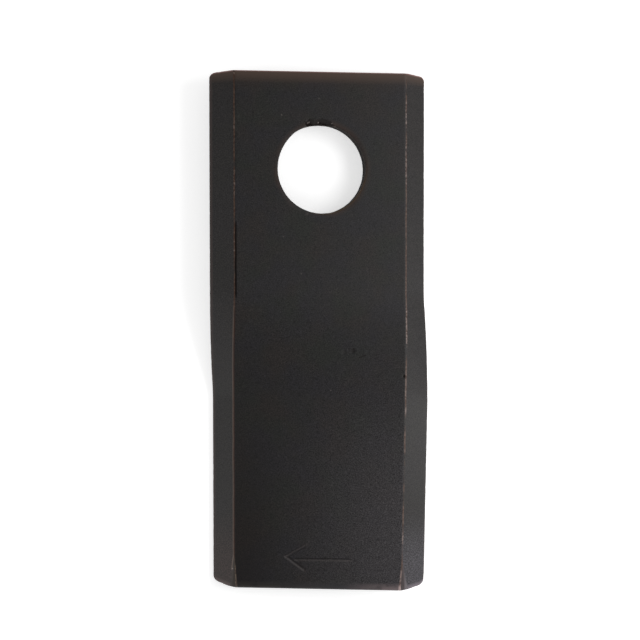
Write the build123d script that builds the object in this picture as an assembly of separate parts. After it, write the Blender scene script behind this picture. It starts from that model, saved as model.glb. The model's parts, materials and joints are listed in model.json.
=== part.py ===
from build123d import *
import os

# Swinging knife of a disc mower: one bar of hardened spring steel, bevelled along
# both long edges, punched for its bolt and twisted between the bolt and the tip.
# Sizes are millimetres and degrees. +Y points to the end with the bolt hole. The
# blade lies as it rests on a floor: each flat part leans by half of the twist.

# Bar
blade_length = 107.0
blade_width = 45.0
blade_thickness = 4.0
corner_radius = 1.0

# Bevelled long edges
left_bevel_width = 5.0
right_bevel_width = 4.6
edge_land = 1.1
ridge_radius = 0.8
land_rounding = 0.25

# Bolt hole
hole_diameter = 18.25
hole_from_end = 19.9
hole_side_shift = 0.4
hole_rim_radius = 0.2

# Chip torn out of the hole's upper rim, on the side of the mounting end
chip_half_width = 2.9
chip_reach = 1.3
chip_depth = 2.2
chip_wall_slope = 18.0
chip_side_shift = -0.6

# Twist between the bolt and the tip, with the right edge turned up
twist_angle = 14.0
twist_start_from_hole = 24.9
twist_length = 23.1
twist_blend = 3.0
twist_sections = 12

# Sheared ends
mounting_end_rollover = 0.35
tip_end_rollover = 1.1
tip_corner_fallback = 0.7
tip_run_in = 0.8

# Small flats where the shear pressed the end of each ridge down at the tip
ridge_flat_length = 6.0
left_ridge_flat_width = 1.3
right_ridge_flat_width = 1.7

# Places along the blade, measured from the bore towards the tip
mounting_end = -hole_from_end
twist_start = twist_start_from_hole
twist_end = twist_start + twist_length
tip_end = mounting_end + blade_length
half_thickness = blade_thickness / 2
half_width = blade_width / 2
lean = twist_angle / 2


# The bar's cross-section, drawn about its mid-thickness
def bar_section(right_run_in=0.0):
    left = -half_width
    right = half_width - right_run_in
    land_top = edge_land - half_thickness
    outline = Polygon(
        (left, -half_thickness),
        (right, -half_thickness),
        (right, land_top),
        (right - right_bevel_width, half_thickness),
        (left + left_bevel_width, half_thickness),
        (left, land_top),
        align=None,
    )
    bottom, land, _ = outline.vertices().group_by(Axis.Y)
    eased = fillet(bottom + land, land_rounding)
    ridges = eased.vertices().group_by(Axis.Y)[-1]
    return fillet(ridges, ridge_radius)


# A frame across the blade at a distance from the bore, with its right side turned up
def station(along, turn=0.0):
    return Plane.XZ.offset(along) * Rot(0, 0, turn)


# The twist reached at a distance past its start: even, with a short blend at each end
def twist_at(distance):
    even_rate = twist_angle / (twist_length - twist_blend)
    if distance < twist_blend:
        return even_rate * distance**2 / (2 * twist_blend)
    if distance > twist_length - twist_blend:
        return twist_angle - even_rate * (twist_length - distance) ** 2 / (2 * twist_blend)
    return even_rate * (distance - twist_blend / 2)


# Side profile of a flat part, rounded over on top at the end where the shear went in
def side_profile(start, end, sheared_end, rollover):
    height = 2 * blade_thickness
    centre = Pos(-(start + end) / 2, half_thickness - height / 2)
    outline = centre * Rectangle(end - start, height)
    tip_corner, mounting_corner = outline.vertices().group_by(Axis.Y)[-1].sort_by(Axis.X)
    corner = mounting_corner if sheared_end == start else tip_corner
    profile = Plane.YZ * fillet(corner, rollover)
    return extrude(profile, amount=blade_width, both=True)


# Plan of the mounting part, with its outer corners eased
def mounting_plan():
    centre = Pos(0, -(mounting_end + twist_start) / 2)
    outline = centre * Rectangle(blade_width, twist_start - mounting_end)
    corners = outline.vertices().group_by(Axis.Y)[-1]
    return extrude(fillet(corners, corner_radius), amount=blade_thickness, both=True)


# Plan of the tip part: the sheared line falls back across each bevel
def tip_plan():
    right = half_width - tip_run_in
    outline = Polygon(
        (-half_width, -twist_end),
        (-half_width, tip_corner_fallback - tip_end),
        (-half_width + left_bevel_width, -tip_end),
        (right - right_bevel_width, -tip_end),
        (right, tip_corner_fallback - tip_end),
        (half_width, -twist_end),
        align=None,
    )
    corners = outline.vertices().group_by(Axis.Y)[1]
    return extrude(fillet(corners, corner_radius), amount=blade_thickness, both=True)


# Broken outline of the chip, widest at the upper face and closing downwards
def rim_chip():
    rim = hole_diameter / 2
    outline = Polygon(
        (-0.8 * chip_half_width, rim - chip_reach),
        (0.9 * chip_half_width, rim - chip_reach),
        (chip_half_width, rim + 0.25 * chip_reach),
        (0.55 * chip_half_width, rim + 0.8 * chip_reach),
        (0.1 * chip_half_width, rim + chip_reach),
        (-0.35 * chip_half_width, rim + 0.7 * chip_reach),
        (-0.7 * chip_half_width, rim + 0.9 * chip_reach),
        (-chip_half_width, rim + 0.4 * chip_reach),
        align=None,
    )
    upper_face = Pos(hole_side_shift + chip_side_shift, 0, half_thickness)
    return extrude(upper_face * outline, amount=-chip_depth, taper=chip_wall_slope)


# Flat part that is bolted to the disc
def mounting_part():
    bar = extrude(station(mounting_end) * bar_section(), amount=twist_start - mounting_end)
    bar &= mounting_plan()
    bar &= side_profile(mounting_end, twist_start, mounting_end, mounting_end_rollover)
    bar -= Pos(hole_side_shift, 0, 0) * Cylinder(hole_diameter / 2, 2 * blade_thickness)
    rims = bar.edges().filter_by(GeomType.CIRCLE).filter_by(
        lambda edge: abs(edge.radius - hole_diameter / 2) < 0.01
    )
    return Rot(0, lean, 0) * (fillet(rims, hole_rim_radius) - rim_chip())


# Stretch that turns the cutting part out of the mounting plane
def twisted_part():
    section = bar_section()
    stations = []
    for step in range(twist_sections + 1):
        distance = twist_length * step / twist_sections
        stations.append(station(twist_start + distance, twist_at(distance) - lean) * section)
    return loft(stations)


# Flat across the end of a ridge: no width where it starts, its full width at the tip
def ridge_flat(ridge, outward, bevel_width, flat_width):
    reach = flat_width / 2
    bevel_fall = reach * (blade_thickness - edge_land) / bevel_width
    start = Vector(ridge, ridge_flat_length - tip_end, half_thickness)
    inner = Vector(ridge - outward * reach, -tip_end, half_thickness)
    outer = Vector(ridge + outward * reach, -tip_end, half_thickness - bevel_fall)
    up = (inner - start).cross(outer - start) * outward
    return Plane(origin=start, z_dir=up)


# Straight cutting part beyond the twist, whose right edge runs in a little
def tip_part():
    bar = loft(
        [station(twist_end) * bar_section(), station(tip_end) * bar_section(tip_run_in)],
        ruled=True,
    )
    bar &= tip_plan()
    bar &= side_profile(twist_end, tip_end, tip_end, tip_end_rollover)
    left_ridge = -half_width + left_bevel_width
    right_ridge = half_width - tip_run_in - right_bevel_width
    left_flat = ridge_flat(left_ridge, -1, left_bevel_width, left_ridge_flat_width)
    right_flat = ridge_flat(right_ridge, 1, right_bevel_width, right_ridge_flat_width)
    bar = split(split(bar, left_flat, Keep.BOTTOM), right_flat, Keep.BOTTOM)
    return Rot(0, -lean, 0) * bar


# Set a solid on the floor at Z 0, with its bounding box centred over the origin
def set_on_floor(solid):
    box = solid.bounding_box()
    return Pos(-box.center().X, -box.center().Y, -box.min.Z) * solid


blade = set_on_floor(mounting_part() + twisted_part() + tip_part())

os.makedirs("parts", exist_ok=True)
export_step(blade, "parts/blade.step")
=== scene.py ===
import json
from bisect import bisect_right
from math import atan2, cos, hypot, pi, radians, sin, sqrt, tan

import bmesh
import bpy
from mathutils import Matrix, Vector, noise


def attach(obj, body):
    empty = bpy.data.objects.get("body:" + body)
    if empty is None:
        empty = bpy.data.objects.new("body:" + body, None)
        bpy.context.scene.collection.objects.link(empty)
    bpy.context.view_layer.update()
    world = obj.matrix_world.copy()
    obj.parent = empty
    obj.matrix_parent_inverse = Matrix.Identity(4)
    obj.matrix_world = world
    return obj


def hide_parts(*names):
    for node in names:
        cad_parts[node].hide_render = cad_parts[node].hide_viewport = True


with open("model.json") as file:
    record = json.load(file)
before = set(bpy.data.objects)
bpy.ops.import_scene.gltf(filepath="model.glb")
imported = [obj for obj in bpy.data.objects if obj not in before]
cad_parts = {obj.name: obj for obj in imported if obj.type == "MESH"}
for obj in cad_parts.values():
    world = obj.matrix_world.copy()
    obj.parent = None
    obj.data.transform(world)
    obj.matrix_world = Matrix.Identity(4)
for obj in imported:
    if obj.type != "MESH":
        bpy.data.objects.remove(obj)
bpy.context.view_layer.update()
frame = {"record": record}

# A mower knife of blackened spring steel. It is shaped flat, in millimetres: +Y runs to
# the mounting end from the middle of the bolt hole, Z is 0 halfway through the steel.
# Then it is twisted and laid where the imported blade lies, in metres.

blade = {
    "length": 107.0,
    "width": 45.0,
    "thickness": 4.0,
    "leftBevel": 5.0,
    "rightBevel": 4.6,
    "edgeLand": 1.1,
    "ridgeRadius": 0.8,
    "landRounding": 0.25,
    "cornerRadius": 1.0,
    "mountingRollover": 0.35,
    "tipRollover": 1.1,
    "mountingFallback": 0.4,
    "tipFallback": 1.15,
    "tipRunIn": 0.8,
    "twist": 14.0,
    "twistStart": 24.9,
    "twistLength": 23.1,
    "twistBlend": 3.0,
    "grid": 0.5,
}
hole = {
    "radius": 9.125,
    "shift": 0.4,
    "fromEnd": 19.9,
    "rim": 0.2,
    "patch": 12.0,  # half side of the square that the hole's rings are fitted into
    "wallLevels": [1.45, 1.05, 0.6, 0.1, -0.4, -0.9, -1.4],
}

half = blade["thickness"] / 2
side = blade["width"] / 2
mountingEnd = hole["fromEnd"]
tipEnd = mountingEnd - blade["length"]
twistEnd = -blade["twistStart"] - blade["twistLength"]
leftRidge = -side + blade["leftBevel"]
rightRidge = side - blade["rightBevel"]
bevelDrop = blade["thickness"] - blade["edgeLand"]


def smooth(low, high, value):
    t = min(1.0, max(0.0, (value - low) / (high - low)))
    return t * t * (3 - 2 * t)


def elements(found, kind):
    return [g for g in found if isinstance(g, kind)]


# One bar: the section drawn at the mounting end, pulled to the tip, long edges eased
def pullBar(bm):
    landTop = blade["edgeLand"] - half
    outline = [(-side, -half), (side, -half), (side, landTop), (rightRidge, half), (leftRidge, half), (-side, landTop)]
    section = bm.faces.new([bm.verts.new((x, mountingEnd, z)) for x, z in outline])
    pulled = bmesh.ops.extrude_face_region(bm, geom=[section])["geom"]
    bmesh.ops.translate(bm, verts=elements(pulled, bmesh.types.BMVert), vec=(0, -blade["length"], 0))
    bmesh.ops.recalc_face_normals(bm, faces=bm.faces)
    leftTurn = atan2(bevelDrop, blade["leftBevel"])
    rightTurn = atan2(bevelDrop, blade["rightBevel"])
    eased = [
        (leftRidge, half, blade["ridgeRadius"], leftTurn, 4),
        (rightRidge, half, blade["ridgeRadius"], rightTurn, 4),
        (-side, landTop, blade["landRounding"], pi / 2 - leftTurn, 3),
        (side, landTop, blade["landRounding"], pi / 2 - rightTurn, 3),
        (-side, -half, blade["landRounding"], pi / 2, 3),
        (side, -half, blade["landRounding"], pi / 2, 3),
    ]
    for x, z, radius, turn, segments in eased:
        edges = [e for e in bm.edges if all(hypot(v.co.x - x, v.co.z - z) < 1e-4 for v in e.verts)]
        bmesh.ops.bevel(
            bm, geom=edges, offset=radius * tan(turn / 2), offset_type="OFFSET",
            segments=segments, profile=0.5, affect="EDGES", material=-1,
        )


# Rows and columns of cuts, so that the bar can be twisted and marked
def cutAcross(bm, axis, places, faces=None):
    for place in places:
        chosen = bm.faces[:] if faces is None else faces()
        geom = chosen + list({e for f in chosen for e in f.edges}) + list({v for f in chosen for v in f.verts})
        bmesh.ops.bisect_plane(bm, geom=geom, dist=1e-5, plane_co=axis * place, plane_no=axis)


def cutGrid(bm):
    step = blade["grid"]
    rows = [tipEnd + d for d in (0.04, 0.12, 0.24, 0.4, 0.6, 0.85, 1.15)]
    rows += [step * k for k in range(round(-85.5 / step), round(19.5 / step) + 1)]
    rows += [mountingEnd - d for d in (0.27, 0.18, 0.1, 0.04)]
    cutAcross(bm, Vector((0, 1, 0)), rows)
    columns = [hole["shift"] + step * k for k in range(-45, 44)]
    columns = [x for x in columns if min(abs(x - leftRidge), abs(x - rightRidge)) > 0.35]
    columns += [-22.3, 21.65, 22.15, leftRidge - 0.45, leftRidge + 0.4, rightRidge - 0.4, rightRidge + 0.5]
    cutAcross(bm, Vector((1, 0, 0)), columns)
    ends = lambda: [f for f in bm.faces if abs(f.normal.y) > 0.9]
    cutAcross(bm, Vector((0, 0, 1)), [-1.75, -1.4, -1.05, -0.7, -0.35, 0, 0.35, 0.7, 1.05, 1.4, 1.75], ends)


# A smaller mesh over one part of the bar, where there is something finer to show
def refine(bm, xRange, yRange, cuts, above=1.0):
    chosen = []
    for f in bm.faces:
        c = f.calc_center_median()
        if xRange[0] < c.x < xRange[1] and yRange[0] < c.y < yRange[1] and c.z > above:
            chosen.append(f)
    edges = list({e for f in chosen for e in f.edges})
    bmesh.ops.subdivide_edges(bm, edges=edges, cuts=cuts, use_grid_fill=True)


# The punched hole: rings pulled in from a square opening, over the rim and down the wall
def holeReach(co):
    return hypot(co.x - hole["shift"], co.y)


def pullRing(bm, edges, radius, z):
    made = bmesh.ops.extrude_edge_only(bm, edges=edges)["geom"]
    for v in elements(made, bmesh.types.BMVert):
        scale = radius / holeReach(v.co)
        v.co = (hole["shift"] + (v.co.x - hole["shift"]) * scale, v.co.y * scale, z)
    return [e for e in elements(made, bmesh.types.BMEdge) if e.is_boundary]


def punchHole(bm):
    patch, radius, rim = hole["patch"], hole["radius"], hole["rim"]
    opened = []
    for f in bm.faces:
        c = f.calc_center_median()
        if abs(c.x - hole["shift"]) < patch and abs(c.y) < patch and abs(f.normal.z) > 0.9:
            opened.append(f)
    bmesh.ops.delete(bm, geom=opened, context="FACES")
    top = [e for e in bm.edges if e.is_boundary and e.verts[0].co.z > 0]
    bottom = [e for e in bm.edges if e.is_boundary and e.verts[0].co.z < 0]
    ring = pullRing(bm, top, radius + rim, half)
    for turn in (30, 60, 90):
        ring = pullRing(bm, ring, radius + rim * (1 - sin(radians(turn))), half - rim * (1 - cos(radians(turn))))
    for z in hole["wallLevels"]:
        ring = pullRing(bm, ring, radius, z)
    lower = pullRing(bm, bottom, radius + rim, -half)
    for turn in (30, 60, 90):
        lower = pullRing(bm, lower, radius + rim * (1 - sin(radians(turn))), rim * (1 - cos(radians(turn))) - half)
    bmesh.ops.bridge_loops(bm, edges=ring + lower)
    spokes = [e for e in bm.edges if abs(holeReach(e.verts[0].co) - holeReach(e.verts[1].co)) > 1
              and min(holeReach(v.co) for v in e.verts) < radius + rim + 0.01]
    bmesh.ops.subdivide_edges(bm, edges=spokes, cuts=6)


# Marks in the steel. Places are on the flat blade, x then y.
chip = {
    "outline": [(-3.1, 9.1), (-3.05, 9.6), (-2.3, 10.25), (-1.2, 10.0), (0.1, 10.4), (1.4, 10.15), (2.6, 9.5), (2.7, 9.1)],
    "depth": 2.2,
    "wallSlope": 18.0,
    # points are painted glints in the chip; pits are where its painted shade is darkest
    "points": [(-0.12, 9.62), (-2.3, 9.5), (-2.1, 9.6), (2.55, 9.35)],
    "pits": [(-2.9, 9.35), (1.3, 9.15), (2.0, 9.0)],
}
arrow = {
    # start, end, half width, depth, then how far to its right (facing the end) its painted highlight and its painted
    # shadow lie
    "strokes": [
        ((-6.67, -80.16), (-2.75, -77.85), 0.40, 0.2, -0.05, 0.45),
        ((-6.67, -80.16), (-2.9, -82.9), 0.40, 0.2, 0.2, -0.1),
        ((-4.6, -80.8), (6.4, -80.75), 0.38, 0.17, 0.16, -0.2),
    ],
    "lip": 0.02,
    # strengths of the painted highlight and the painted shadow along the strokes
    "rubbed": 0.055,
    "paintedShade": 0.3,
}
marks = {
    # place, radius, depth, how bare
    "dents": [
        ((6.99, -37.41), 0.65, 0.2, 0.0),
        ((6.2, -37.3), 0.5, 0.1, 0.0),
        ((5.27, -37.72), 0.7, 0.08, 0.0),
        ((17.64, -42.66), 0.4, 0.3, 0.0),
        ((-2.91, -9.45), 0.3, 0.2, 0.5),
        ((6.95, -80.8), 0.35, 0.08, 0.03),
    ],
    "scratches": [
        ((8.23, -38.8), (9.5, -38.35), 0.2, 0.1),
        ((-13.7, -26.9), (-13.75, -30.0), 0.12, 0.03),
    ],
    # place, how bare
    "flecks": [
        ((2.61, -45.6), 0.16), ((-7.96, 10.93), 0.2), ((-0.23, 14.34), 0.14), ((-7.6, -13.91), 0.12), ((-3.95, -21.53), 0.14),
        ((-6.6, -80.1), 0.18), ((-2.9, -77.95), 0.1), ((-3.0, -82.8), 0.1), ((-18.0, -83.0), 0.6), ((-18.4, -84.9), 0.15),
        ((17.9, -77.8), 0.5), ((-17.75, -16.8), 0.3), ((-17.75, -15.0), 0.2),
    ],
    "undercut": ((-17.42, -10.9), (-17.42, -26.3), 0.22, 0.2),
}
flats = {"length": 6.0, "leftWidth": 1.3, "rightWidth": 1.7}


# Distance from a stroke, and how far to its right
def along(x, y, start, end):
    dx, dy = end[0] - start[0], end[1] - start[1]
    t = ((x - start[0]) * dx + (y - start[1]) * dy) / (dx * dx + dy * dy)
    nearest = min(1.0, max(0.0, t))
    right = ((x - start[0]) * dy - (y - start[1]) * dx) / hypot(dx, dy)
    return hypot(x - start[0] - dx * nearest, y - start[1] - dy * nearest), right


def refineMarks(bm):
    refine(bm, (-3.9, 3.5), (8.3, 11.6), 3, above=-1.9)  # chip
    refine(bm, (-7.8, 8.0), (-84.3, -77.2), 4)  # arrow
    refine(bm, (4.4, 10.3), (-39.4, -36.4), 3)
    refine(bm, (-18.9, -16.3), (tipEnd, -79.9), 2)
    refine(bm, (16.9, 19.8), (tipEnd, -80.5), 2)
    refine(bm, (-18.0, -16.9), (-27.2, -10.2), 2)
    refine(bm, (16.9, 18.6), (-43.6, -41.8), 2)
    for (x, y), bare in marks["flecks"][:5]:
        refine(bm, (x - 0.5, x + 0.5), (y - 0.5, y + 0.5), 3)


# Height of the untouched upper surface above the mid-plane
def topAt(x):
    if x < leftRidge:
        return half - (leftRidge - x) * bevelDrop / blade["leftBevel"]
    if x > rightRidge:
        return half - (x - rightRidge) * bevelDrop / blade["rightBevel"]
    return half


def chipFloor(x, y):
    places = [p[0] for p in chip["outline"]]
    if not places[0] < x < places[-1] or y < 7.5:
        return half
    k = bisect_right(places, x)
    (x0, y0), (x1, y1) = chip["outline"][k - 1], chip["outline"][k]
    reach = y0 + (y1 - y0) * (x - x0) / (x1 - x0)
    inside = min((reach - y) * 0.85, (x - places[0]) * 1.2, (places[-1] - x) * 1.2)
    if inside <= 0:
        return half
    rough = noise.noise(Vector((x * 2.1, y * 3.0, 4.0))) * 0.35 + noise.noise(Vector((x * 6, y * 6, 9))) * 0.16
    depth = min(inside / tan(radians(chip["wallSlope"])), chip["depth"] + rough * min(1, inside))
    return half - depth


def flatsAt(x, y):
    t = (tipEnd + flats["length"] - y) / flats["length"]
    if t <= 0:
        return half
    height = half
    for ridge, outward, bevelWidth, width in (
        (leftRidge, -1, blade["leftBevel"], flats["leftWidth"]),
        (rightRidge, 1, blade["rightBevel"], flats["rightWidth"]),
    ):
        reach = width / 2
        fall = reach * bevelDrop / bevelWidth
        across = (x - ridge) * outward
        height = min(height, half - fall * (across + reach * t) / (2 * reach))
    return height


def endCap(y):
    height = half
    for inside, radius in ((mountingEnd - y, blade["mountingRollover"]), (y - tipEnd, blade["tipRollover"])):
        if inside < radius:
            height = min(height, half - radius + sqrt(max(0, radius**2 - (radius - inside) ** 2)))
    return height


# Dents, strokes and scratches: how deep, how bare they are rubbed, and how much painted shade darkens their hollows
def marksAt(x, y):
    depth, bare, paintedShade = 0.0, 0.0, 0.0
    if tipEnd < y < -76:
        for start, end, width, deep, lit, dark in arrow["strokes"]:
            off, right = along(x, y, start, end)
            if off < width * 1.9:
                depth = max(depth, deep * (1 - smooth(0.45 * width, width, off)))
                if off > width:
                    depth = min(depth, depth - arrow["lip"] * (1 - smooth(width, 1.9 * width, off)))
                inside = 1 - smooth(0.9 * width, 1.5 * width, off)
                # a painted highlight along one flank, a painted shadow along the other
                bare = max(bare, arrow["rubbed"] * inside * (1 - smooth(0.05, 0.3, abs(right - lit))))
                paintedShade = max(paintedShade, arrow["paintedShade"] * inside * (1 - smooth(0.05, 0.25, abs(right - dark))))
        # painted shadow between the head strokes
        paintedShade = max(paintedShade, 0.35 * (1 - smooth(0.25, 0.6, hypot(x + 3.7, y + 81.3))))
    for (mx, my), radius, deep, rubbed in marks["dents"]:
        off = hypot(x - mx, y - my)
        if off < radius * 1.6:
            depth += deep * (1 - smooth(0.2 * radius, radius, off)) - 0.15 * deep * smooth(radius, 1.2 * radius, off) * (
                1 - smooth(1.2 * radius, 1.6 * radius, off))
            bare = max(bare, rubbed * (1 - smooth(0.5 * radius, radius, off)))
            # painted shade in the hollow of each dent
            paintedShade = max(paintedShade, 2.5 * deep * (1 - smooth(0.5 * radius, radius, off)) * (1 - rubbed))
    for start, end, width, deep in marks["scratches"]:
        off, right = along(x, y, start, end)
        if off < width * 2:
            depth += deep * (1 - smooth(0, width, off))
            # painted shade in the scratch
            paintedShade = max(paintedShade, 7 * deep * (1 - smooth(0, width, off)))
    start, end, width, deep = marks["undercut"]
    off, right = along(x, y, start, end)
    if off < width:
        depth += deep * (1 - smooth(0.3 * width, width, off))
    for (mx, my), rubbed in marks["flecks"]:
        off = hypot(x - mx, y - my)
        if off < 0.3:
            bare = max(bare, rubbed * (1 - smooth(0.05, 0.2, off)))
    return depth, bare, paintedShade


# Ends: eased corners, the tip falling back across the bevels, and torn steel under the burnish
def endLine(x, z, radius, fallback):
    outer = max(0.0, abs(x) - (side - radius))
    back = radius - sqrt(max(0, radius**2 - outer**2))
    ridge = -leftRidge if x < 0 else rightRidge
    back += fallback * max(0, abs(x) - ridge) / (side - ridge)
    torn = smooth(0.9, 0.2, z) if z > 0.2 else 1.0
    ragged = noise.noise(Vector((x * 1.3, z * 0.5, 2.0))) + 0.5 * noise.noise(Vector((x * 3.4, z * 1.6, 7.0)))
    return back + 0.008 + 0.07 * torn * max(0, 0.4 + ragged)


def shapeFlat(co):
    x, y, z = co
    top = topAt(x)
    share = min(1.0, (z + half) / (top + half))
    floor = chipFloor(x, y)
    lowered = min(top, endCap(y), flatsAt(x, y), floor)
    bare, paintedShade = 0.0, 0.0
    if share > 0.97:
        depth, bare, paintedShade = marksAt(x, y)
        worn = 0.014 * (noise.noise(Vector((x * 0.05, y * 0.05, 1.0))) + 0.6 * noise.noise(Vector((x * 0.2, y * 0.2, 3.0))))
        lowered -= depth + 0.018 + worn
    elif share > 0.03:
        lowered -= 0.018
    # painted shade fills the chip, darkest round its pits, and painted glints sit at its points
    if floor < half - 0.1:
        paintedShade = max([0.8] + [1 - smooth(0.3, 0.6, hypot(x - mx, y - my)) for mx, my in chip["pits"]])
        bare = 0.6 * max(1 - smooth(0.06, 0.18, hypot(x - mx, y - my)) for mx, my in chip["points"])
    z = -half + share * (lowered + half)
    if share < 0.03:
        z = max(z, -half) + 0.012 * max(0, noise.noise(Vector((x * 0.15, y * 0.15, 6.0))))
    newX, newY = x, y
    if y > mountingEnd - 3:
        newY = y - endLine(x, z, blade["cornerRadius"], blade["mountingFallback"]) * smooth(mountingEnd - 3, mountingEnd, y)
    if y < tipEnd + 4:
        newY = y + endLine(x, z, blade["cornerRadius"], blade["tipFallback"]) * smooth(tipEnd + 4, tipEnd, y)
    if y < twistEnd and x > 9.5:
        runIn = blade["tipRunIn"] * (twistEnd - y) / (twistEnd - tipEnd)
        newX = x - runIn * min(1, (x - 9.5) / (rightRidge - 9.5))
    rub = smooth(side - 0.6, side, abs(x))
    if rub > 0:
        ragged = noise.noise(Vector((x, y * 0.9, z * 0.8))) + 0.6 * noise.noise(Vector((x, y * 2.7, z)))
        newX -= (0.022 + 0.05 * max(0, ragged)) * rub * (1 if x > 0 else -1)
    reach = hypot(x - hole["shift"], y)
    if reach < hole["radius"] + 0.6:
        angle = atan2(y, x - hole["shift"])
        torn = smooth(1.6, 1.95, angle) * (1 - smooth(2.1, 2.6, angle))  # upper left of the rim
        grow = 0.12 * torn + 0.02 + 0.03 * noise.noise(Vector((angle * 9, z * 0.7, 5.0)))
        grow *= 1 - smooth(hole["radius"] + 0.1, hole["radius"] + 0.6, reach)
        newX += grow * cos(angle)
        newY += grow * sin(angle)
    return Vector((newX, newY, z)), bare, paintedShade


# The twist between hole and tip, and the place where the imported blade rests
boltBore = next(m for m in frame["record"]["mounts"] if m["name"] == "bolt_bore")
lean = atan2(boltBore["axis"][0], boltBore["axis"][2])
boreCentre = Vector((hole["shift"] * cos(lean), 0, -hole["shift"] * sin(lean))) / 1000
bladePlace = Vector(boltBore["pos_m"]) - boreCentre


def turnAt(y):
    blend, length = blade["twistBlend"], blade["twistLength"]
    rate = radians(blade["twist"]) / (length - blend)
    d = min(length, max(0.0, -y - blade["twistStart"]))
    if d < blend:
        turned = rate * d * d / (2 * blend)
    elif d > length - blend:
        turned = radians(blade["twist"]) - rate * (length - d) ** 2 / (2 * blend)
    else:
        turned = rate * (d - blend / 2)
    return turned - lean


def placeBlade(co):
    turn = turnAt(co.y)
    turned = Vector((co.x * cos(turn) - co.z * sin(turn), co.y, co.x * sin(turn) + co.z * cos(turn)))
    return turned / 1000 + bladePlace


# Map of the flat blade in tenths of a metre, with the underside, ends and wall set apart
def mapFlat(bm):
    flat = bm.loops.layers.uv.new("flat")
    for f in bm.faces:
        c = f.calc_center_median()
        atEnd = abs(f.normal.y) > 0.9 and holeReach(c) > hole["radius"] + 1
        inHole = holeReach(c) < hole["radius"] + 0.05
        middle = atan2(c.y, c.x - hole["shift"])
        f.material_index = 1 if atEnd or inHole else 0
        for loop in f.loops:
            co = loop.vert.co
            if atEnd:
                place = (co.x / 100, 1 + co.z / 100)
            elif inHole:
                angle = middle + (atan2(co.y, co.x - hole["shift"]) - middle + pi) % (2 * pi) - pi
                place = (1.5 + angle * hole["radius"] / 100, 1 + co.z / 100)
            elif f.normal.z < -0.5:
                place = (-0.6 - co.x / 100, co.y / 100)
            else:
                place = (co.x / 100, co.y / 100)
            loop[flat].uv = place


def makeBlade():
    bm = bmesh.new()
    pullBar(bm)
    cutGrid(bm)
    punchHole(bm)
    refineMarks(bm)
    bmesh.ops.remove_doubles(bm, verts=bm.verts, dist=1e-4)
    bmesh.ops.recalc_face_normals(bm, faces=bm.faces)
    mapFlat(bm)
    # bare steel, with painted highlights and glints, and painted shade, kept per corner for the shader
    bareLayer = bm.verts.layers.float.new("bare")
    paintedShadeLayer = bm.verts.layers.float.new("paintedShade")
    for v in bm.verts:
        shaped, v[bareLayer], v[paintedShadeLayer] = shapeFlat(v.co)
        v.co = placeBlade(shaped)
    bm.normal_update()
    mesh = bpy.data.meshes.new("bladeSteel")
    bm.to_mesh(mesh)
    bm.free()
    mesh.shade_smooth()
    mesh.set_sharp_from_angle(angle=radians(40))
    piece = bpy.data.objects.new("bladeSteel", mesh)
    bpy.context.scene.collection.objects.link(piece)
    return piece


bladeSteel = makeBlade()
print("blade mesh:", len(bladeSteel.data.polygons), "faces")


# Shader helpers
def addNode(tree, kind, inputs=None, **settings):
    made = tree.nodes.new(kind)
    for name, value in settings.items():
        setattr(made, name, value)
    for socket, value in (inputs or {}).items():
        if isinstance(value, bpy.types.NodeSocket):
            tree.links.new(value, made.inputs[socket])
        else:
            made.inputs[socket].default_value = value
    return made


def mathNode(tree, operation, *values, clamp=False):
    made = addNode(tree, "ShaderNodeMath", dict(enumerate(values)), operation=operation)
    made.use_clamp = clamp
    return made.outputs[0]


def mixColour(tree, share, first, second):
    made = addNode(tree, "ShaderNodeMix", data_type="RGBA")
    for socket, value in ((0, share), (6, first), (7, second)):
        if isinstance(value, bpy.types.NodeSocket):
            tree.links.new(value, made.inputs[socket])
        else:
            made.inputs[socket].default_value = value
    return made.outputs[2]


def makeGroup(name, inputs, outputs):
    tree = bpy.data.node_groups.new(name, "ShaderNodeTree")
    for label, kind, value in inputs:
        socket = tree.interface.new_socket(name=label, in_out="INPUT", socket_type=kind)
        if value is not None:
            socket.default_value = value
    for label, kind in outputs:
        tree.interface.new_socket(name=label, in_out="OUTPUT", socket_type=kind)
    return tree, tree.nodes.new("NodeGroupInput").outputs, tree.nodes.new("NodeGroupOutput").inputs


def useGroup(tree, group, **inputs):
    made = addNode(tree, "ShaderNodeGroup", node_tree=group)
    for label, value in inputs.items():
        socket = made.inputs[label]
        if isinstance(value, bpy.types.NodeSocket):
            tree.links.new(value, socket)
        else:
            socket.default_value = value
    return made.outputs


number, colour, vector = "NodeSocketFloat", "NodeSocketColor", "NodeSocketVector"

# Fine scale grain and broader unevenness, both in metres
grain, given, result = makeGroup(
    "forgeGrain",
    [("Vector", vector, None), ("fineScale", number, 2600.0), ("fineDepth", number, 0.00001),
     ("broadScale", number, 300.0), ("broadDepth", number, 0.00002)],
    [("Normal", vector), ("Fine", number)],
)
fine = addNode(grain, "ShaderNodeTexNoise", {"Vector": given["Vector"], "Scale": given["fineScale"], "Detail": 3.0, "Roughness": 0.6})
broad = addNode(grain, "ShaderNodeTexNoise", {"Vector": given["Vector"], "Scale": given["broadScale"], "Detail": 4.0})
height = mathNode(
    grain, "ADD",
    mathNode(grain, "MULTIPLY", fine.outputs["Fac"], given["fineDepth"]),
    mathNode(grain, "MULTIPLY", broad.outputs["Fac"], given["broadDepth"]),
)
bump = addNode(grain, "ShaderNodeBump", {"Strength": 1.0, "Distance": 1.0, "Height": height})
grain.links.new(bump.outputs["Normal"], result["Normal"])
grain.links.new(fine.outputs["Fac"], result["Fine"])

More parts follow.
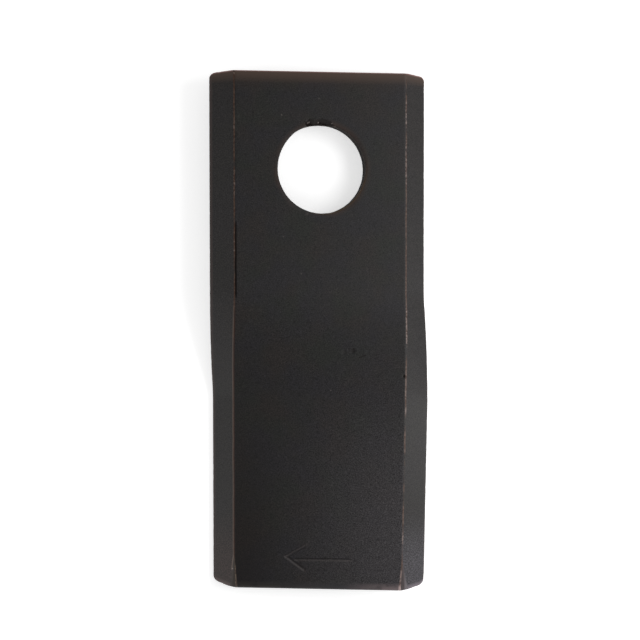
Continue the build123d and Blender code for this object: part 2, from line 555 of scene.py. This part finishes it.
# Three tones that drift into each other
drift, given, result = makeGroup(
    "toneDrift",
    [("Vector", vector, None), ("Scale", number, 70.0), ("toneA", colour, (0.02, 0.02, 0.02, 1)),
     ("toneB", colour, (0.02, 0.02, 0.02, 1)), ("toneC", colour, (0.02, 0.02, 0.02, 1))],
    [("Color", colour)],
)
mixed = given["toneA"]
for w, tone in ((0.0, "toneB"), (7.3, "toneC")):
    spread = addNode(drift, "ShaderNodeTexNoise", {"Vector": given["Vector"], "W": w, "Scale": given["Scale"], "Detail": 4.0},
                     noise_dimensions="4D")
    share = addNode(drift, "ShaderNodeMapRange", {"Value": spread.outputs["Fac"], "From Min": 0.42, "From Max": 0.6})
    mixed = mixColour(drift, share.outputs[0], mixed, given[tone])
drift.links.new(mixed, result["Color"])

# A soft-edged band round a value
band, given, result = makeGroup(
    "softBand",
    [("Value", number, 0.0), ("Centre", number, 0.0), ("halfWidth", number, 0.1), ("Edge", number, 0.05)],
    [("Mask", number)],
)
off = mathNode(band, "ABSOLUTE", mathNode(band, "SUBTRACT", given["Value"], given["Centre"]))
edge = addNode(band, "ShaderNodeMapRange", {
    "Value": off, "From Min": given["halfWidth"], "From Max": mathNode(band, "ADD", given["halfWidth"], given["Edge"]),
    "To Min": 1.0, "To Max": 0.0}, interpolation_type="SMOOTHSTEP")
band.links.new(edge.outputs[0], result["Mask"])

# Broken patches inside a mask
patches, given, result = makeGroup(
    "brokenPatches",
    [("Vector", vector, None), ("Cover", number, 1.0), ("Scale", number, 500.0), ("From", number, 0.5), ("Soft", number, 0.1)],
    [("Mask", number)],
)
spread = addNode(patches, "ShaderNodeTexNoise", {"Vector": given["Vector"], "Scale": given["Scale"], "Detail": 2.0})
cut = addNode(patches, "ShaderNodeMapRange", {
    "Value": spread.outputs["Fac"], "From Min": given["From"],
    "From Max": mathNode(patches, "ADD", given["From"], given["Soft"])}, interpolation_type="SMOOTHSTEP")
patches.links.new(mathNode(patches, "MULTIPLY", cut.outputs[0], given["Cover"]), result["Mask"])

blackened = {
    "toneA": (0.0142, 0.0118, 0.0110, 1),
    "toneB": (0.0116, 0.0121, 0.0104, 1),
    "toneC": (0.0122, 0.0112, 0.0126, 1),
    "driftScale": 130.0,
    "speckle": 2.3,
    "bevelTone": (0.0165, 0.0145, 0.0141, 1),
    "tipBevelLeft": (0.030, 0.021, 0.019, 1),
    "tipBevelRight": (0.050, 0.047, 0.052, 1),
    "wornSheenTone": (0.036, 0.033, 0.035, 1),
    "brown": (0.030, 0.017, 0.012, 1),
    "edgeBrown": (0.260, 0.140, 0.130, 1),
    "endWarm": (0.060, 0.039, 0.029, 1),
    "sideBrown": (0.046, 0.032, 0.029, 1),
    "gold": (0.045, 0.028, 0.016, 1),
    "endLeft": (0.022, 0.019, 0.016, 1),
    "endMiddle": (0.033, 0.031, 0.034, 1),
    "endRight": (0.150, 0.118, 0.120, 1),
    "endBevelLeft": (0.082, 0.060, 0.057, 1),
    "endBevelRight": (0.150, 0.130, 0.145, 1),
    "bareSteel": (0.34, 0.29, 0.27, 1),
    "black": (0.0040, 0.0018, 0.0012, 1),
    "roughness": 0.50,
    "specular": 0.22,
    # rubbed ridges: a broken line, then two lines round the flat pressed at the tip; the end tone is a painted
    # highlight where the lines reach the tip, strongest on the right
    "partingFrom": -0.799,
    "ridges": [
        {
            "centre": -0.1770, "outward": -1, "cover": 0.30,
            "dark": (0.034, 0.013, 0.006, 1), "light": (0.062, 0.036, 0.024, 1), "pale": (0.115, 0.082, 0.070, 1),
            "facet": (0.034, 0.027, 0.022, 1),
            "inner": (0.095, 0.070, 0.050, 1), "innerReach": 0.0055, "innerFlare": 0.0012, "end": (0.085, 0.066, 0.058, 1),
            "outer": (0.115, 0.085, 0.070, 1), "outerReach": 0.0085, "outerFlare": -0.0002, "outerRange": (0.5, 0.4),
            "innerCurve": 0.75, "outerCurve": 0.75,
            "cuttingLines": [(-0.0017, (0.026, 0.007, 0.003, 1)), (0.0010, (0.078, 0.055, 0.043, 1))],
        },
        {
            "centre": 0.1806, "outward": 1, "cover": 0.33,
            "dark": (0.048, 0.026, 0.018, 1), "light": (0.085, 0.056, 0.045, 1), "pale": (0.15, 0.115, 0.105, 1),
            "facet": (0.060, 0.048, 0.048, 1),
            "inner": (0.17, 0.125, 0.115, 1), "innerReach": 0.0052, "innerFlare": 0.0020, "end": (0.48, 0.38, 0.37, 1),
            "outer": (0.115, 0.102, 0.108, 1), "outerReach": 0.0095, "outerFlare": 0.0030, "outerRange": (0.4, 0.9),
            "innerCurve": 1.5, "outerCurve": 0.9,
            "cuttingLines": [],
        },
    ],
}


def newMaterial(name, specular):
    material = bpy.data.materials.new(name)
    material.use_nodes = True
    tree = material.node_tree
    shader = tree.nodes["Principled BSDF"]
    shader.inputs["Specular IOR Level"].default_value = specular
    return material, tree, shader


def ramp(tree, value, low, high, smoothed=False):
    return addNode(tree, "ShaderNodeMapRange", {"Value": value, "From Min": low, "From Max": high},
                   interpolation_type="SMOOTHSTEP" if smoothed else "LINEAR").outputs[0]


# Mask for the lower right of the rim and wall, where a golden sheen is painted on the side that faces the light
def lowerRight(tree, flat):
    fromCentre = addNode(tree, "ShaderNodeVectorMath", {0: flat, 1: (0.004, 0.0, 0.0)}, operation="SUBTRACT")
    facing = addNode(tree, "ShaderNodeVectorMath", {0: fromCentre.outputs["Vector"], 1: (0.6, -0.8, 0.0)}, operation="DOT_PRODUCT")
    return ramp(tree, facing.outputs["Value"], 0.045, 0.085, True)


def makeBlackened():
    material, tree, shader = newMaterial("blackenedSteel", blackened["specular"])
    math = lambda operation, *values: mathNode(tree, operation, *values)
    times = lambda *values: mathNode(tree, "MULTIPLY", *values)
    place = addNode(tree, "ShaderNodeTexCoord").outputs["Object"]
    flat = addNode(tree, "ShaderNodeUVMap", uv_map="flat").outputs["UV"]
    split = addNode(tree, "ShaderNodeSeparateXYZ", {"Vector": flat})
    across, lengthwise = split.outputs["X"], split.outputs["Y"]
    onTop = ramp(tree, across, -0.27, -0.26)
    tone = useGroup(tree, drift, Vector=place, Scale=blackened["driftScale"], toneA=blackened["toneA"],
                    toneB=blackened["toneB"], toneC=blackened["toneC"])["Color"]
    surface = useGroup(tree, grain, Vector=place, fineScale=5200.0, fineDepth=0.000008, broadScale=260.0, broadDepth=0.00003)
    # wandering edge for every line that follows the bar, and beads along it
    wander = addNode(tree, "ShaderNodeTexNoise", {"Vector": place, "Scale": 420.0, "Detail": 3.0}).outputs["Fac"]
    wandered = math("ADD", across, times(math("SUBTRACT", wander, 0.5), 0.0022))
    beads = addNode(tree, "ShaderNodeTexNoise", {"Vector": place, "Scale": 2000.0, "Detail": 1.0}).outputs["Fac"]
    beads = ramp(tree, beads, 0.42, 0.6)
    offCentre = math("ABSOLUTE", math("SUBTRACT", wandered, 0.002))
    bevels = times(ramp(tree, offCentre, 0.1768, 0.1775), onTop)
    tone = mixColour(tree, times(bevels, 0.7), tone, blackened["bevelTone"])
    # cut grass has polished the cutting part, and a painted sheen on top stands in for light from the right: brightest
    # towards its right side and its end
    wornAndPaintedSheen = times(times(ramp(tree, across, -0.12, 0.19, True), ramp(tree, lengthwise, -0.28, -0.84, True)), onTop)
    wornAndPaintedSheen = times(wornAndPaintedSheen, math("SUBTRACT", 1.0, bevels))
    tone = mixColour(tree, wornAndPaintedSheen, tone, blackened["wornSheenTone"])
    # painted shade darkens the left side of the cutting part
    paintedTipShade = times(times(ramp(tree, across, -0.06, -0.17, True), ramp(tree, lengthwise, -0.3, -0.8)), onTop)
    paintedTipShade = times(paintedTipShade, math("SUBTRACT", 0.6, times(bevels, 0.6)))
    tone = mixColour(tree, paintedTipShade, tone, blackened["black"])
    # the bevels at the tip are painted as lit and shaded copies: lighter and bluer on the right, darker and browner on
    # the left
    litShadedTipBevel = mixColour(tree, ramp(tree, across, -0.1, 0.1), blackened["tipBevelLeft"], blackened["tipBevelRight"])
    tone = mixColour(tree, times(bevels, ramp(tree, lengthwise, -0.69, -0.83, True)), tone, litShadedTipBevel)
    speckled = math("MAXIMUM", math("MULTIPLY_ADD", surface["Fine"], blackened["speckle"] * 2, 1 - blackened["speckle"]), 0.1)
    tone = addNode(tree, "ShaderNodeVectorMath", {0: tone, "Scale": speckled}, operation="SCALE").outputs["Vector"]
    # heat-tinted brown at the mounting end and round the hole
    endTint = times(math("POWER", ramp(tree, lengthwise, 0.15, 0.2), 1.6), math("MULTIPLY_ADD", bevels, -0.35, 0.75))
    tone = mixColour(tree, endTint, tone, blackened["brown"])
    fromHole = addNode(tree, "ShaderNodeVectorMath", {0: flat, 1: (0.004, 0.0, 0.0)}, operation="DISTANCE").outputs["Value"]
    rimTint = useGroup(tree, band, Value=fromHole, Centre=0.0925, halfWidth=0.001, Edge=0.012)["Mask"]
    rimTint = useGroup(tree, patches, Vector=place, Cover=rimTint, Scale=120.0, From=0.3, Soft=0.3)["Mask"]
    tone = mixColour(tree, times(rimTint, 0.6), tone, blackened["brown"])
    # a painted golden sheen along the rim's lower right
    rimSheenLine = useGroup(tree, band, Value=fromHole, Centre=0.0917, halfWidth=0.001, Edge=0.002)["Mask"]
    tone = mixColour(tree, times(rimSheenLine, lowerRight(tree, flat)), tone, blackened["gold"])
    # painted highlight over the rolled tip end and its bevels, brighter to the right; a warm tint and a reddish edge at
    # the mounting end
    rolloverHighlightTone = mixColour(tree, ramp(tree, across, -0.12, 0.03), blackened["endLeft"], blackened["endMiddle"])
    rolloverHighlightTone = mixColour(tree, ramp(tree, across, 0.05, 0.14), rolloverHighlightTone, blackened["endRight"])
    rolloverHighlight = useGroup(tree, patches, Vector=place, Cover=ramp(tree, lengthwise, -0.853, -0.866), Scale=350.0, From=0.2, Soft=0.3)["Mask"]
    rolloverHighlight = times(times(rolloverHighlight, onTop), math("SUBTRACT", 1.0, bevels))
    tone = mixColour(tree, rolloverHighlight, tone, rolloverHighlightTone)
    rolloverHighlightTone = mixColour(tree, ramp(tree, across, -0.1, 0.1), blackened["endBevelLeft"], blackened["endBevelRight"])
    tone = mixColour(tree, times(bevels, ramp(tree, lengthwise, -0.860, -0.868)), tone, rolloverHighlightTone)
    tone = mixColour(tree, times(ramp(tree, lengthwise, 0.174, 0.193), 0.85), tone, blackened["endWarm"])
    tone = mixColour(tree, times(ramp(tree, lengthwise, 0.1955, 0.1985), 0.8), tone, blackened["edgeBrown"])
    outer = times(ramp(tree, offCentre, 0.2205, 0.2235), onTop)
    tone = mixColour(tree, times(outer, 0.6), tone, blackened["sideBrown"])
    pressed = ramp(tree, lengthwise, blackened["partingFrom"], tipEnd / 100)
    late = math("POWER", pressed, 4.0)
    cutting = times(ramp(tree, lengthwise, -0.27, -0.31), ramp(tree, pressed, 0.15, 0.0))
    for ridge in blackened["ridges"]:
        offset = times(math("SUBTRACT", wandered, ridge["centre"]), ridge["outward"])
        inwards = times(math("POWER", pressed, ridge["innerCurve"]), -ridge["innerReach"])
        outwards = times(math("POWER", pressed, ridge["outerCurve"]), ridge["outerReach"])
        between = times(math("GREATER_THAN", offset, inwards), math("LESS_THAN", offset, outwards))
        tone = mixColour(tree, times(between, 0.85), tone, ridge["facet"])
        line = useGroup(tree, band, Value=offset, Centre=inwards, halfWidth=math("MULTIPLY_ADD", late, ridge["innerFlare"], 0.0008),
                        Edge=0.0012)["Mask"]
        broken = useGroup(tree, patches, Vector=place, Cover=line, Scale=200.0, From=ridge["cover"], Soft=0.2)["Mask"]
        tone = mixColour(tree, broken, tone, mixColour(tree, beads, ridge["dark"], ridge["light"]))
        worn = useGroup(tree, patches, Vector=place, Cover=times(line, beads), Scale=90.0, From=0.56, Soft=0.06)["Mask"]
        tone = mixColour(tree, worn, tone, ridge["pale"])
        for centre, lineTone in ridge["cuttingLines"]:
            line = useGroup(tree, band, Value=offset, Centre=centre, halfWidth=0.0006, Edge=0.0010)["Mask"]
            tone = mixColour(tree, times(times(line, cutting), 0.8), tone, lineTone)
        line = useGroup(tree, band, Value=offset, Centre=inwards, halfWidth=math("MULTIPLY_ADD", late, ridge["innerFlare"], 0.0008),
                        Edge=0.0012)["Mask"]
        beaded = math("MULTIPLY_ADD", beads, 0.8, 0.2)
        tone = mixColour(tree, times(times(line, ramp(tree, pressed, 0.0, 0.4)), beaded), tone, ridge["inner"])
        # painted highlight where the inner line reaches the tip
        tone = mixColour(tree, times(line, ramp(tree, late, 0.4, 1.0)), tone, ridge["end"])
        line = useGroup(tree, band, Value=offset, Centre=outwards, halfWidth=math("MULTIPLY_ADD", late, ridge["outerFlare"], 0.0004),
                        Edge=0.0012)["Mask"]
        line = times(times(line, ramp(tree, pressed, *ridge["outerRange"])), ramp(tree, pressed, 0.0, 0.05))
        tone = mixColour(tree, line, tone, ridge["outer"])
    # painted shade: black along the undercut beside the left ridge, in the dents, scratches and arrow strokes, and in
    # the chip
    inLength = useGroup(tree, band, Value=lengthwise, Centre=-0.186, halfWidth=0.070, Edge=0.008)["Mask"]
    growing = math("MULTIPLY_ADD", ramp(tree, lengthwise, -0.12, -0.2), 0.0007, 0.0004)
    undercutShade = useGroup(tree, band, Value=wandered, Centre=-0.1745, halfWidth=growing, Edge=0.0009)["Mask"]
    paintedShadeAttr = addNode(tree, "ShaderNodeAttribute", attribute_name="paintedShade").outputs["Fac"]
    dark = mathNode(tree, "MAXIMUM", times(undercutShade, inLength), paintedShadeAttr, clamp=True)
    tone = mixColour(tree, dark, tone, blackened["black"])
    # bare steel, which also carries the painted highlights on the arrow and the painted glints in the chip
    bare = addNode(tree, "ShaderNodeAttribute", attribute_name="bare").outputs["Fac"]
    tone = mixColour(tree, bare, tone, blackened["bareSteel"])
    tree.links.new(tone, shader.inputs["Base Color"])
    tree.links.new(times(bare, 0.7), shader.inputs["Metallic"])
    uneven = math("MULTIPLY_ADD", surface["Fine"], 0.2, blackened["roughness"] - 0.1)
    rough = math("ADD", uneven, times(dark, 0.4))
    tree.links.new(mathNode(tree, "SUBTRACT", rough, times(bare, 0.12), clamp=True), shader.inputs["Roughness"])
    tree.links.new(surface["Normal"], shader.inputs["Normal"])
    return material


sheared = {
    "toneA": (0.0100, 0.0075, 0.0065, 1),
    "toneB": (0.0170, 0.0120, 0.0095, 1),
    "toneC": (0.0070, 0.0060, 0.0060, 1),
    "burnish": (0.040, 0.030, 0.026, 1),
    "gold": (0.040, 0.025, 0.014, 1),
    "bareSteel": (0.30, 0.24, 0.21, 1),
    "roughness": 0.8,
    "specular": 0.08,
}


def makeSheared():
    material, tree, shader = newMaterial("shearedSteel", sheared["specular"])
    times = lambda *values: mathNode(tree, "MULTIPLY", *values)
    place = addNode(tree, "ShaderNodeTexCoord").outputs["Object"]
    flat = addNode(tree, "ShaderNodeUVMap", uv_map="flat").outputs["UV"]
    split = addNode(tree, "ShaderNodeSeparateXYZ", {"Vector": flat})
    tone = useGroup(tree, drift, Vector=place, Scale=400.0, toneA=sheared["toneA"], toneB=sheared["toneB"],
                    toneC=sheared["toneC"])["Color"]
    drawn = addNode(tree, "ShaderNodeMapping", {"Vector": flat, "Scale": (330.0, 26.0, 1.0)}).outputs["Vector"]
    streaks = addNode(tree, "ShaderNodeTexNoise", {"Vector": drawn, "Scale": 1.0, "Detail": 4.0}).outputs["Fac"]
    burnished = useGroup(tree, band, Value=split.outputs["Y"], Centre=1.013, halfWidth=0.004, Edge=0.006)["Mask"]
    burnished = times(burnished, streaks)
    tone = mixColour(tree, burnished, tone, sheared["burnish"])
    # the wall's map runs round the hole from 1.5, so -1 radian is the lower right
    # painted golden sheen on the wall's lower right
    paintedGoldenSheen = useGroup(tree, band, Value=split.outputs["X"], Centre=1.5 - 0.9 * hole["radius"] / 100, halfWidth=0.03, Edge=0.05)["Mask"]
    paintedGoldenSheen = times(paintedGoldenSheen, ramp(tree, split.outputs["Y"], 1.002, 1.014))
    tone = mixColour(tree, paintedGoldenSheen, tone, sheared["gold"])
    bare = useGroup(tree, patches, Vector=place, Cover=burnished, Scale=700.0, From=0.64, Soft=0.08)["Mask"]
    tone = mixColour(tree, bare, tone, sheared["bareSteel"])
    tree.links.new(tone, shader.inputs["Base Color"])
    tree.links.new(times(bare, 0.7), shader.inputs["Metallic"])
    surface = useGroup(tree, grain, Vector=place, fineScale=1900.0, fineDepth=0.00002, broadScale=600.0, broadDepth=0.00006)
    drawnBump = addNode(tree, "ShaderNodeBump", {"Strength": 1.0, "Distance": 0.00004, "Height": streaks,
                                                 "Normal": surface["Normal"]})
    tree.links.new(drawnBump.outputs["Normal"], shader.inputs["Normal"])
    tree.links.new(mathNode(tree, "MULTIPLY_ADD", streaks, -0.2, sheared["roughness"] + 0.1), shader.inputs["Roughness"])
    return material


bladeSteel.data.materials.append(makeBlackened())
bladeSteel.data.materials.append(makeSheared())
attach(bladeSteel, "root")
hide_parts("blade")
print("materials:", ", ".join(m.name for m in bladeSteel.data.materials))

# Pale floor and soft light: strong from the right, weaker from the lower left, little overhead
studio = {
    "floorSize": 4.0,
    "floorTone": (0.86, 0.86, 0.86, 1),
    "floorGlow": 0.5,
    "world": 0.45,
    "lights": [
        # name, place, size, watts
        ("leftSoftbox", (-0.20, 0.0, 0.17), (0.14, 0.14), 0.065),
        ("lowLeftSoftbox", (-0.25, -0.10, 0.08), (0.14, 0.14), 0.13),
        ("rightSoftbox", (0.10, 0.05, 0.10), (0.07, 0.07), 0.080),
        ("lowRightSoftbox", (0.09, -0.03, 0.05), (0.05, 0.12), 0.073),
    ],
}


def makeStudio():
    bm = bmesh.new()
    bmesh.ops.create_grid(bm, x_segments=2, y_segments=2, size=studio["floorSize"] / 2)
    mesh = bpy.data.meshes.new("paleFloor")
    bm.to_mesh(mesh)
    bm.free()
    floor = bpy.data.objects.new("paleFloor", mesh)
    bpy.context.scene.collection.objects.link(floor)
    paper, tree, shader = newMaterial("palePaper", 0.2)
    shader.inputs["Base Color"].default_value = studio["floorTone"]
    shader.inputs["Roughness"].default_value = 0.9
    shader.inputs["Emission Color"].default_value = (1, 1, 1, 1)
    shader.inputs["Emission Strength"].default_value = studio["floorGlow"]
    mesh.materials.append(paper)
    world = bpy.data.worlds.new("studioAir")
    world.use_nodes = True
    world.node_tree.nodes["Background"].inputs["Color"].default_value = (1, 1, 1, 1)
    world.node_tree.nodes["Background"].inputs["Strength"].default_value = studio["world"]
    bpy.context.scene.world = world
    for name, place, size, watts in studio["lights"]:
        lamp = bpy.data.lights.new(name, "AREA")
        lamp.shape = "RECTANGLE"
        lamp.size, lamp.size_y = size
        lamp.energy = watts
        light = bpy.data.objects.new(name, lamp)
        light.location = place
        light.rotation_euler = (-Vector(place)).to_track_quat("-Z", "Y").to_euler()
        bpy.context.scene.collection.objects.link(light)


makeStudio()
print("studio: floor and", len(studio["lights"]), "softboxes")

# Camera above the blade, at the photograph's angle; degrees and millimetres
view = {
    "roll": 1.588,
    "pitch": 1.829,
    "yaw": 0.055,
    "distance": 300.0,
    "shiftX": 0.2265,
    "shiftY": 1.8647,
    "pixelsPerMm": 4.82,
    "frame": 640,
    "aimY": -33.0,
}


def makeCamera():
    turned = (
        Matrix.Rotation(radians(view["yaw"]), 3, "Z")
        @ Matrix.Rotation(radians(view["pitch"]), 3, "X")
        @ Matrix.Rotation(radians(view["roll"]), 3, "Y")
    ).transposed()
    aim = bladePlace + Vector((0, view["aimY"] / 1000, 0))
    place = aim + turned @ Vector((view["shiftX"], view["shiftY"], view["distance"])) / 1000
    data = bpy.data.cameras.new("photoView")
    data.sensor_width = 36
    data.lens = 36 * view["pixelsPerMm"] * view["distance"] / view["frame"]
    data.clip_start = 0.01
    data.clip_end = 20
    camera = bpy.data.objects.new("photoView", data)
    camera.matrix_world = Matrix.Translation(place) @ turned.to_4x4()
    bpy.context.scene.collection.objects.link(camera)
    bpy.context.scene.camera = camera


makeCamera()
bpy.context.scene.view_settings.view_transform = "Standard"
